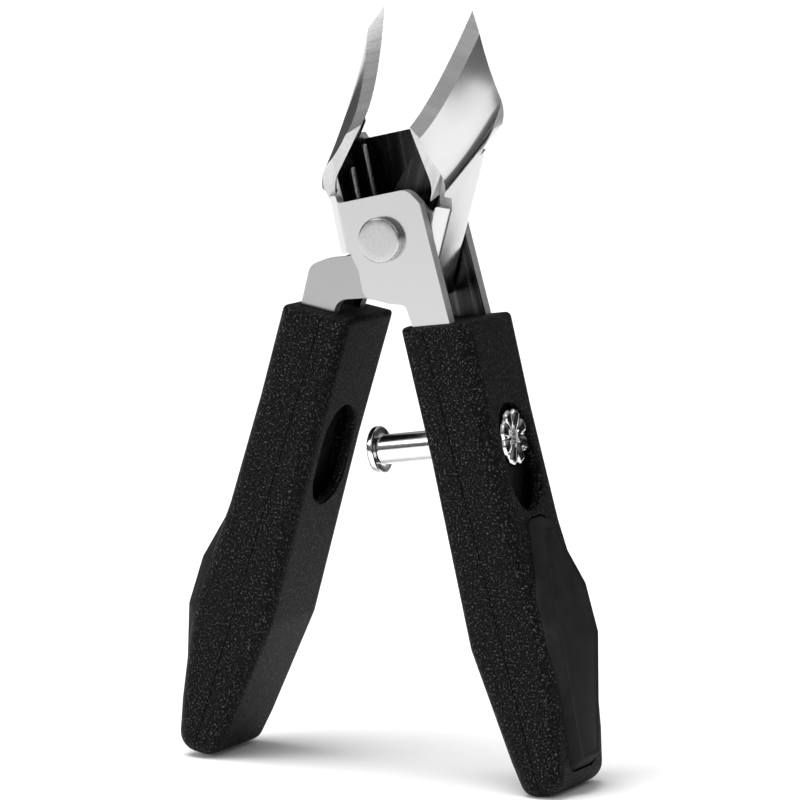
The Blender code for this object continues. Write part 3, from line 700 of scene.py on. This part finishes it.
# ---------------------------------------------------------------- rivet and spring
def build_rivet(chrome):
    face = OUTER_HALF_DEPTH + 0.04 * MM
    head = RIVET_HEAD_RADIUS
    front = -face - RIVET_HEAD_HEIGHT
    rear = face + 1.05 * MM
    profile = [(0.0, front + 0.02 * MM), (head - 1.2 * MM, front)]
    profile += fillet(head - 0.35 * MM, front + 0.02 * MM, head, front + 0.35 * MM, 1)
    profile += fillet(head, -face - 0.12 * MM, head - 0.12 * MM, -face, 0, 3)
    profile += [(PIN_RADIUS, -face), (PIN_RADIUS, face), (head - 0.35 * MM, face)]
    for i in range(9):
        angle = math.pi / 2 * i / 8
        profile.append(((head - 0.3 * MM) * math.cos(angle), blend(face + 0.15 * MM, rear, math.sin(angle))))
    rivet = mesh_object("rivet", turned(profile, along_y(), 96))
    finished(rivet, LEVER_A, BODY_A, ["pivot_rivet"], [chrome])


def spring_route():
    """Front leg and coil, middle loop against lever B's web, rear coil and leg, in lever A's frame."""
    outer_y = 2.55 * MM
    inner_y = 0.75 * MM
    lean = 2 * OPEN_LEAN
    steps = 120
    coil = []
    for i in range(steps + 1):
        share = i / steps
        angle = blend(-3 * math.pi, -lean, share)
        y = blend(-outer_y, -inner_y, share)
        coil.append(Vector((COIL_RADIUS * math.cos(angle), y, COIL_RADIUS * math.sin(angle))))
    away = Vector((math.sin(lean), 0.0, math.cos(lean)))
    front_leg = [Vector((-COIL_RADIUS, -outer_y, z * MM)) for z in (11.0, 9.0, 7.0, 5.0, 3.0, 1.5)]
    rise = [coil[-1] + away * reach * MM for reach in (1.5, 3.0, 5.0, 7.0, 9.0)]
    fall = [Vector((point.x, -point.y, point.z)) for point in reversed(rise)]
    rear_coil = [Vector((point.x, -point.y, point.z)) for point in reversed(coil)]
    rear_leg = [Vector((-COIL_RADIUS, outer_y, z * MM)) for z in (1.5, 3.0, 5.0, 8.0, 11.0, 14.0)]
    return front_leg + coil + rise + fall + rear_coil + rear_leg


def softened(points, rounds=2):
    """Corners of a route cut off again and again, its ends kept."""
    for _ in range(rounds):
        cut_points = [points[0]]
        for one, two in zip(points, points[1:]):
            cut_points.append(blend(one, two, 0.25))
            cut_points.append(blend(one, two, 0.75))
        cut_points.append(points[-1])
        points = cut_points
    return points


def tube(points, radius, sides=12):
    """Round wire along the route with slightly domed ends."""
    across = Vector((0.0, 1.0, 0.0))
    loops = []
    for i, point in enumerate(points):
        ahead = (points[min(i + 1, len(points) - 1)] - points[max(i - 1, 0)]).normalized()
        across = (across - ahead * across.dot(ahead)).normalized()
        other = ahead.cross(across)
        loop = []
        for k in range(sides):
            angle = 2 * math.pi * k / sides
            loop.append(point + (across * math.cos(angle) + other * math.sin(angle)) * radius)
        loops.append(loop)
    for end, inwards in ((0, 1), (-1, -2)):
        centre = points[end]
        outwards = (points[end] - points[inwards]).normalized()
        domed = [centre + (p - centre) * 0.6 + outwards * radius * 0.35 for p in loops[end]]
        loops.insert(0 if end == 0 else len(loops), domed)
    return loft(loops)


def build_spring(wire):
    route = softened(spring_route())
    spring = mesh_object("spring_wire", tube(route, WIRE_RADIUS))
    spring.data.materials.append(wire)
    spring.data.shade_smooth()
    spring.matrix_world = LEVER_A
    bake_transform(spring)
    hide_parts("return_spring")


# ---------------------------------------------------------------- handles
def seam_x(z):
    """Where the two shells of a handle meet, at height z."""
    return 4.9 * MM + (-13.0 * MM - z) * 0.052


def handle_corners():
    """Side outline of a handle in millimetres, inner face on the left."""
    return [
        (0.9, -12.9, 0.9),
        (1.5, -32.0, 3.0),
        (1.6, -60.5, 6.0),
        (4.4, -77.5, 5.0),
        (5.6, -83.0, 2.4),
        (11.6, -83.4, 3.0),
        (13.0, -76.0, 8.0),
        (14.8, -62.0, 4.0),
        (12.9, -45.0, 8.0),
        (12.2, -28.0, 3.0),
        (12.0, -13.9, 0.9),
    ]


def handle_solid(name, side, shift):
    """Bar with the handle's side outline, its long edges rounded by HANDLE_ROUND and its top edge by less."""
    corners = shifted(scaled(handle_corners()), shift)
    shares = [1.0] * len(corners)
    shares[-1] = 0.35
    straight = HANDLE_HALF_DEPTH - HANDLE_ROUND
    loops = []
    for end in (-1, 1):
        angles = [end * angle for angle in range(0, 91, 10)]
        for angle in reversed(angles) if end < 0 else angles:
            turn = math.radians(angle)
            y = end * straight + HANDLE_ROUND * math.sin(turn)
            inset = HANDLE_ROUND * (1 - math.cos(turn))
            outline = mirrored(rounded(inset_corners(corners, shares, inset), 8), side)
            loops.append([(x, y, z) for x, z in outline])
    return mesh_object(name, loft(loops))


def seam_half(side, shift, outward):
    """Half space on one side of the seam: outward 1 covers the outer shell, -1 the inner shell."""
    offset = shift - outward * SEAM_GAP / 2
    top, bottom = -5 * MM, -95 * MM
    far = 30 * MM * outward
    corners = [
        (seam_x(top) + offset, top),
        (seam_x(bottom) + offset, bottom),
        (seam_x(bottom) + offset + far, bottom),
        (seam_x(top) + offset + far, top),
    ]
    return prism_xz(mirrored(corners, side), -12 * MM, 12 * MM)


def cavity_mesh(side, shift):
    inner_wall = 2.6 * MM + shift
    outer_wall = 10.85 * MM + shift
    outline = [
        (inner_wall, CAVITY_TOP),
        (inner_wall + 0.4 * MM, CAVITY_END),
        (outer_wall + 0.2 * MM, CAVITY_END),
        (outer_wall, CAVITY_TOP),
    ]
    half = HANDLE_HALF_DEPTH - WALL + FIT_GAP * 0.4
    return prism_xz(mirrored(outline, side), -half, half)


def tang_slot_mesh(side, low_x, high_x, plate_high, sign):
    corners = [(low_x, -10 * MM), (low_x, -17 * MM), (high_x, -17 * MM), (high_x, -10 * MM)]
    ends = sorted((sign * (plate_high - SHEET - FIT_GAP), sign * (plate_high + FIT_GAP)))
    return prism_xz(mirrored(corners, side), ends[0], ends[1])


def pin_places(shift, heights):
    return [(seam_x(z) + shift, z) for z in heights]


def lipped_slot(half_width, low, high, face_x, outwards, depth):
    """Cutter for a slot whose rim is rounded by LIP_RADIUS: face_x(z) is the face and outwards its side."""
    rings = [(0.0, -depth)]
    for i in range(7):
        angle = math.pi / 2 * i / 6
        rings.append((LIP_RADIUS * (1 - math.cos(angle)), LIP_RADIUS * (math.sin(angle) - 1)))
    rings.append((LIP_RADIUS, 3 * MM))
    loops = []
    for growth, height in rings:
        outline = stadium(half_width + growth, low - growth, high + growth)
        loops.append([(face_x(z) + outwards * height, y, z) for y, z in outline])
    return loft(loops)


def right_outer_face(z):
    return 12.2 * MM + RIGHT_SHIFT + (-28.0 * MM - z) * (0.7 / 17.0)


def right_inner_face(z):
    return 1.5 * MM + RIGHT_SHIFT + (z + 32.0 * MM) * -0.03


def left_inner_face(z):
    return -(1.5 * MM + LEFT_SHIFT + (z + 32.0 * MM) * -0.03)


def pad_corners():
    """Outline of the grip pad in (y, z), a long hexagon with soft corners."""
    half = [(2.6, -43.6, 1.6), (7.2, -54.5, 3.0), (7.7, -62.0, 3.0), (4.2, -80.6, 1.8)]
    other = [(-y, z, r) for y, z, r in reversed(half)]
    return scaled(half + other)


def pad_pocket(side, shift):
    grown = []
    for y, z in rounded(pad_corners(), 8):
        grown.append((y * 1.03, z + math.copysign(0.15 * MM, z + 62 * MM)))
    floor = side * (PAD_BACK_X + shift - 0.15 * MM)
    return prism_yz(grown, floor, side * 22 * MM)


def cut_screw_holes(shell, side, shift):
    """Stepped clearance holes for the two shell screws, under the pad."""
    shank = 1.1 * MM + FIT_GAP
    head = 2.2 * MM + FIT_GAP
    profile = [
        (0.0, -7.2 * MM),
        (shank, -7.2 * MM),
        (shank, -2.0 * MM),
        (head, -2.0 * MM),
        (head, 3.0 * MM),
        (0.0, 3.0 * MM),
    ]
    flip = Matrix.Identity(4) if side > 0 else Matrix.Rotation(math.pi, 4, "Y")
    for z in (-55.0 * MM, -71.0 * MM):
        place = Matrix.Translation(((PAD_BACK_X + shift - 0.3 * MM) * side, 0.0, z)) @ flip @ along_x()
        cut(shell, turned(profile, place, 32))


def build_handle(prefix, side, shift, matrix, body, tang, heights, plastic):
    """Two shells around one cavity, with slots for the tangs and seats for the pins, screws and pad."""
    low_x, high_x, plate = tang
    for label, outward in (("outer", 1), ("inner", -1)):
        shell = handle_solid(f"{prefix}_shell_{label}", side, shift)
        cut(shell, seam_half(side, shift, -outward))
        cut(shell, cavity_mesh(side, shift))
        for sign in (-1, 1):
            cut(shell, tang_slot_mesh(side, low_x, high_x, plate, sign))
        half = HANDLE_HALF_DEPTH - 0.65 * MM
        for x, z in pin_places(shift, heights):
            cut(shell, turned(rod(TANG_PIN_RADIUS + FIT_GAP, -half, half), along_y(side * x, 0.0, z), 32))
        cut_screw_holes(shell, side, shift)
        if outward > 0:
            cut(shell, pad_pocket(side, shift))
        if (prefix, label) == ("right", "outer"):
            cut(shell, lipped_slot(SLOT_HALF_WIDTH, SLOT_END, SLOT_TOP, right_outer_face, 1, 3 * MM))
        if (prefix, label) == ("right", "inner"):
            half = STUD_RADIUS + 0.4 * MM
            ends = (LOCK_Z - LOCK_TRAVEL - half, LOCK_Z + half + 0.6 * MM)
            cut(shell, lipped_slot(half, *ends, right_inner_face, -1, 3 * MM))
        if (prefix, label) == ("left", "inner"):
            cut(shell, lipped_slot(4.5 * MM, -42.0 * MM, -27.0 * MM, left_inner_face, 1, 3 * MM))
        finished(shell, matrix, body, [f"{prefix}_handle_{label}_shell"], [plastic])


def pad_face(z):
    """Height of the pad's crowned face above the lever's axis, before the handle's shift."""
    stations = [(-84.0, 12.4), (-79.0, 13.9), (-65.5, 16.05), (-50.0, 15.65), (-43.0, 14.0), (-40.0, 13.2)]
    z = z / MM
    total, weight = 0.0, 0.0
    for step in range(-6, 7):
        place = z + step * 0.5
        for (z0, x0), (z1, x1) in zip(stations, stations[1:]):
            if z0 <= place <= z1:
                share = math.cos(step / 7 * math.pi / 2)
                total += share * blend(x0, x1, (place - z0) / (z1 - z0))
                weight += share
    return total / weight * MM


def pad_mesh(side, shift):
    """Wall, sloping shoulder, fine lip and crowned face, built as inset rings and closed by a ladder."""
    corners = list(reversed(pad_corners()))
    shares = [1.0] * len(corners)
    back = PAD_BACK_X + shift
    rings = [(0.0, None), (0.0, -1.7), (0.12, -1.45), (1.15, -0.32)]
    rings += [(1.3, -0.17), (1.5, -0.09), (1.72, -0.1), (1.9, -0.17), (2.2, -0.19)]
    loops = []
    for inset, height in rings:
        outline = rounded(inset_corners(corners, shares, inset * MM), 8)
        loop = []
        for y, z in outline:
            x = back if height is None else pad_face(z) + shift + height * MM
            loop.append((side * max(x, back), y, z))
        loops.append(loop)
    bm = loft(loops, closed_ends=False)
    bm.verts.ensure_lookup_table()
    count = len(loops[0])
    bm.faces.new(bm.verts[:count])
    last = bm.verts[-count:]
    rungs = 10
    rows = []
    for i in range(count // 2):
        one, two = last[i], last[count - 1 - i]
        row = [one]
        for k in range(1, rungs):
            share = k / rungs
            rise = side * 0.22 * MM * 4 * share * (1 - share)
            point = blend(one.co, two.co, share)
            row.append(bm.verts.new((point.x + rise, point.y, point.z)))
        row.append(two)
        rows.append(row)
    for upper, lower in zip(rows, rows[1:]):
        for k in range(rungs):
            bm.faces.new((upper[k], upper[k + 1], lower[k + 1], lower[k]))
    return bm


def build_pad(prefix, side, shift, matrix, body, rubber):
    pad = mesh_object(f"{prefix}_pad", pad_mesh(side, shift))
    finished(pad, matrix, body, [f"{prefix}_grip_pad"], [rubber], 40.0)


# ---------------------------------------------------------------- lock
def build_stud(chrome):
    """Shank and flange, with turned rings on the flange's face."""
    end = 7.4 * MM
    bore = 1.5 * MM
    x = FLANGE_X
    profile = [(0.0, x + 0.5 * MM), (1.15 * MM, x + 0.5 * MM), (1.35 * MM, x + 0.1 * MM)]
    for ring in (1.6, 2.1, 2.6):
        groove = [(ring, 0.02), (ring + 0.18, 0.0), (ring + 0.3, 0.09), (ring + 0.42, 0.02)]
        profile += [(radius * MM, x + depth * MM) for radius, depth in groove]
    profile += fillet(FLANGE_RADIUS - 0.3 * MM, x, FLANGE_RADIUS, x + 0.3 * MM, 1, 5)
    profile += fillet(FLANGE_RADIUS, x + 0.75 * MM, FLANGE_RADIUS - 0.3 * MM, x + 1.05 * MM, 0, 5)
    profile += fillet(STUD_RADIUS + 0.3 * MM, x + 1.05 * MM, STUD_RADIUS, x + 1.35 * MM, 1, 4)
    profile += [(STUD_RADIUS, end), (bore, end), (bore, end - 7.6 * MM), (0.0, end - 7.6 * MM)]
    stud = mesh_object("lock_stud_turned", turned(profile, lock_axis(), 72))
    finished(stud, LEVER_A, BODY_LOCK, ["lock_stud"], [chrome])


def knob_shape(radius, height, angle):
    """Scallops round the rim, petals on the face and a six-point star round the socket."""
    flute = (0.5 + 0.5 * math.cos(FLUTES * angle)) ** 3
    star = 0.5 + 0.5 * math.cos(6 * angle)
    if height < KNOB_FACE_X - 2.05 * MM:
        return radius, height
    if radius <= 1.5 * MM:
        return radius * blend(0.72, 1.0, star), height
    reach = (radius - 1.5 * MM) / (KNOB_RADIUS - 1.5 * MM)
    groove = 0.3 * MM * flute * reach if height > KNOB_FACE_X - 0.7 * MM else 0.0
    return radius - 0.55 * MM * flute * reach**2, height - groove


def build_knob(chrome):
    face = KNOB_FACE_X
    back = face - 2.0 * MM
    profile = [(0.0, 0.4 * MM), (1.25 * MM, 0.4 * MM), (1.25 * MM, back), (KNOB_RADIUS - 0.2 * MM, back)]
    profile += fillet(KNOB_RADIUS - 0.2 * MM, back, KNOB_RADIUS, back + 0.2 * MM, 1, 3)[1:]
    profile += fillet(KNOB_RADIUS, face - 0.6 * MM, KNOB_RADIUS - 0.6 * MM, face, 0, 6)
    profile += [(3.2 * MM, face), (2.7 * MM, face - 0.02 * MM), (2.2 * MM, face - 0.06 * MM)]
    profile += [(1.75 * MM, face - 0.12 * MM), (1.5 * MM, face - 0.2 * MM), (1.42 * MM, face - 0.35 * MM)]
    profile += [(1.4 * MM, face - 1.4 * MM), (0.0, face - 1.7 * MM)]
    knob = mesh_object("lock_knob", turned(profile, lock_axis(), 144, knob_shape))
    finished(knob, LEVER_A, BODY_LOCK, ["lock_screw"], [chrome], 50.0)


# ---------------------------------------------------------------- small parts kept from the frame
def dress_kept_nodes(satin, wire, dark_metal, dark_plastic):
    looks = {"spring_sleeve": satin, "lock_spring_washer": wire, "lock_slide": dark_plastic}
    # The steel catch plate is painted near-black as the shade inside the left handle's opening.
    looks["lock_catch_plate"] = dark_metal
    for prefix in ("right", "left"):
        for piece in ("tang_pin", "shell_screw"):
            for place in ("upper", "lower"):
                looks[f"{prefix}_{piece}_{place}"] = satin
    for node, material in looks.items():
        frame["nodes"][node].data.materials.clear()
        frame["nodes"][node].data.materials.append(material)


# ---------------------------------------------------------------- studio
def build_floor():
    half = 4.0
    corners = ((-half, -half), (half, -half), (half, half), (-half, half))
    bm = bmesh.new()
    bm.faces.new([bm.verts.new((x, y, 0.0)) for x, y in corners])
    floor = mesh_object("floor", bm)
    nodes = Nodes("floor_paper", Roughness=0.9)
    nodes.colour(nodes.ramp(nodes.noise((40.0, 40.0, 40.0)), (0.3, 0.86), (0.7, 0.88)))
    floor.data.materials.append(nodes.material)


def area_light(name, place, size, power):
    """Square soft light aimed at the rivet; place is measured from it."""
    data = bpy.data.lights.new(name, "AREA")
    data.size = size
    data.energy = power
    light = bpy.data.objects.new(name, data)
    light.location = PIVOT + Vector(place)
    light.rotation_euler = (-Vector(place)).to_track_quat("-Z", "Y").to_euler()
    bpy.context.scene.collection.objects.link(light)
    return light


def even_light(name, towards, energy):
    """Broad parallel light that the steel doesn't mirror; towards points at it."""
    data = bpy.data.lights.new(name, "SUN")
    data.energy = energy
    data.angle = math.radians(40.0)
    light = bpy.data.objects.new(name, data)
    light.rotation_euler = Vector(towards).to_track_quat("Z", "Y").to_euler()
    light.visible_glossy = False
    bpy.context.scene.collection.objects.link(light)


def build_world():
    """Dim surround, a little brighter overhead, so that the steel shows dark between the lights."""
    world = bpy.data.worlds.new("studio")
    bpy.context.scene.world = world
    world.use_nodes = True
    tree = world.node_tree
    coordinates = tree.nodes.new("ShaderNodeTexCoord")
    split = tree.nodes.new("ShaderNodeSeparateXYZ")
    tree.links.new(coordinates.outputs["Generated"], split.inputs["Vector"])
    ramp = tree.nodes.new("ShaderNodeValToRGB")
    tree.links.new(split.outputs["Z"], ramp.inputs["Fac"])
    for element, (place, level) in zip(ramp.color_ramp.elements, ((0.1, 0.08), (0.75, 0.46))):
        element.position = place
        element.color = (level, level, level, 1.0)
    tree.links.new(ramp.outputs["Color"], tree.nodes["Background"].inputs["Color"])


def dark_card(name, corners):
    """Black card that only the steel's reflections see."""
    bm = bmesh.new()
    bm.faces.new([bm.verts.new(corner) for corner in corners])
    card = mesh_object(name, bm)
    nodes = Nodes("card_black", Roughness=1.0, Specular_IOR_Level=0.0)
    nodes.colour(nodes.ramp(nodes.noise((20.0, 20.0, 20.0)), (0.3, 0.004), (0.7, 0.006)))
    card.data.materials.append(nodes.material)
    card.visible_camera = False
    card.visible_diffuse = False
    card.visible_shadow = False


def build_camera():
    """Long lens from the front right, a little above, rolled by one degree."""
    azimuth = math.radians(26.5)
    elevation = math.radians(6.5)
    roll = math.radians(1.0)
    pan = math.radians(0.258)
    tilt = math.radians(1.638)
    distance = 0.8
    aim = PIVOT + Vector((0.0, -8.4, 0.0)) * MM
    level = math.cos(elevation)
    towards = Vector((math.sin(azimuth) * level, -math.cos(azimuth) * level, math.sin(elevation)))
    forward = -towards
    right = Vector((math.cos(azimuth), math.sin(azimuth), 0.0))
    turn_aside = Matrix.Rotation(-pan, 3, "Z")
    forward, right = turn_aside @ forward, turn_aside @ right
    forward = Matrix.Rotation(-tilt, 3, right) @ forward
    up = right.cross(forward)
    rolled_right = right * math.cos(roll) + up * math.sin(roll)
    rolled_up = up * math.cos(roll) - right * math.sin(roll)
    data = bpy.data.cameras.new("camera")
    data.lens = 250.2
    data.sensor_width = 36.0
    data.clip_start = 0.05
    camera = bpy.data.objects.new("camera", data)
    turn = Matrix((rolled_right, rolled_up, -forward)).transposed()
    camera.matrix_world = Matrix.Translation(aim + towards * distance) @ turn.to_4x4()
    bpy.context.scene.collection.objects.link(camera)
    bpy.context.scene.camera = camera


def build_studio():
    build_floor()
    build_world()
    area_light("key", (-0.42, -0.5, 0.42), 0.3, 0.8)
    area_light("right_box", (0.58, 0.14, 0.56), 0.6, 1.1)
    lift = 0.001
    dark_card("back_card", [(-0.02, 0.10, lift), (0.16, 0.10, lift), (0.20, 0.225, lift), (0.0, 0.225, lift)])
    low, high = 0.0, 0.085
    dark_card("side_card", [(0.30, 0.20, low), (0.12, 0.52, low), (0.12, 0.52, high), (0.30, 0.20, high)])
    even_light("overhead", (-0.17, -0.20, 0.96), 3.0)
    even_light("front_fill", (-0.30, -0.92, 0.12), 3.4)
    build_camera()


def main():
    polished = polished_steel("sheet_polished", 0.58, 0.66)
    levers = [polished, ground_steel(), cut_edge_steel(), inside_steel_painted_shade()]
    chrome = satin_chrome("chrome_bright", 0.8, 0.14)
    satin = satin_chrome("steel_satin", 0.66, 0.3)
    wire = drawn_wire()
    plastic = grained_plastic()
    rubber = pad_rubber()
    right_heights = (-19.0 * MM, -23.4 * MM)
    left_heights = (-18.6 * MM, -22.2 * MM)
    right_pins = pin_places(RIGHT_SHIFT, right_heights)
    left_pins = pin_places(LEFT_SHIFT, left_heights)
    shape_a = (OUTER_HALF_DEPTH, OUTER_FRONT_CORNER, OUTER_EDGE_X, outer_plate_outline())
    shape_b = (INNER_HALF_DEPTH, INNER_FRONT_CORNER, INNER_EDGE_X, inner_plate_outline())
    outer = build_lever("lever_outer", "outer_lever", 1, *shape_a, LEVER_A, BODY_A, right_pins, levers)
    inner = build_lever("lever_inner", "inner_lever", -1, *shape_b, LEVER_B, BODY_B, left_pins, levers)
    # The plates get darker copies of the polished steel; lever B's, darker still, are painted shade for where
    # they lie behind lever A's front plate.
    darken_plates(outer, 0.5, 0.56)
    darken_plates(inner, 0.34, 0.4)
    build_rivet(satin_chrome("rivet_steel", 0.54, 0.26))
    build_spring(wire)
    tang_a = (1.6 * MM, 8.2 * MM, OUTER_HALF_DEPTH)
    tang_b = (5.3 * MM, 11.3 * MM, INNER_HALF_DEPTH)
    build_handle("right", 1, RIGHT_SHIFT, LEVER_A, BODY_A, tang_a, right_heights, plastic)
    build_handle("left", -1, LEFT_SHIFT, LEVER_B, BODY_B, tang_b, left_heights, plastic)
    build_pad("right", 1, RIGHT_SHIFT, LEVER_A, BODY_A, rubber)
    build_pad("left", -1, LEFT_SHIFT, LEVER_B, BODY_B, rubber)
    build_stud(chrome)
    build_knob(chrome)
    # Near-black finish for the catch plate: painted shade for the dark inside the handle's opening.
    catch_shade = dark_finish("catch_shade_black", 0.02, 0.45)
    slide = dark_finish("slide_black", 0.012, 0.4)
    dress_kept_nodes(satin, wire, catch_shade, slide)
    bpy.context.scene.view_settings.view_transform = "Standard"
    build_studio()


main()
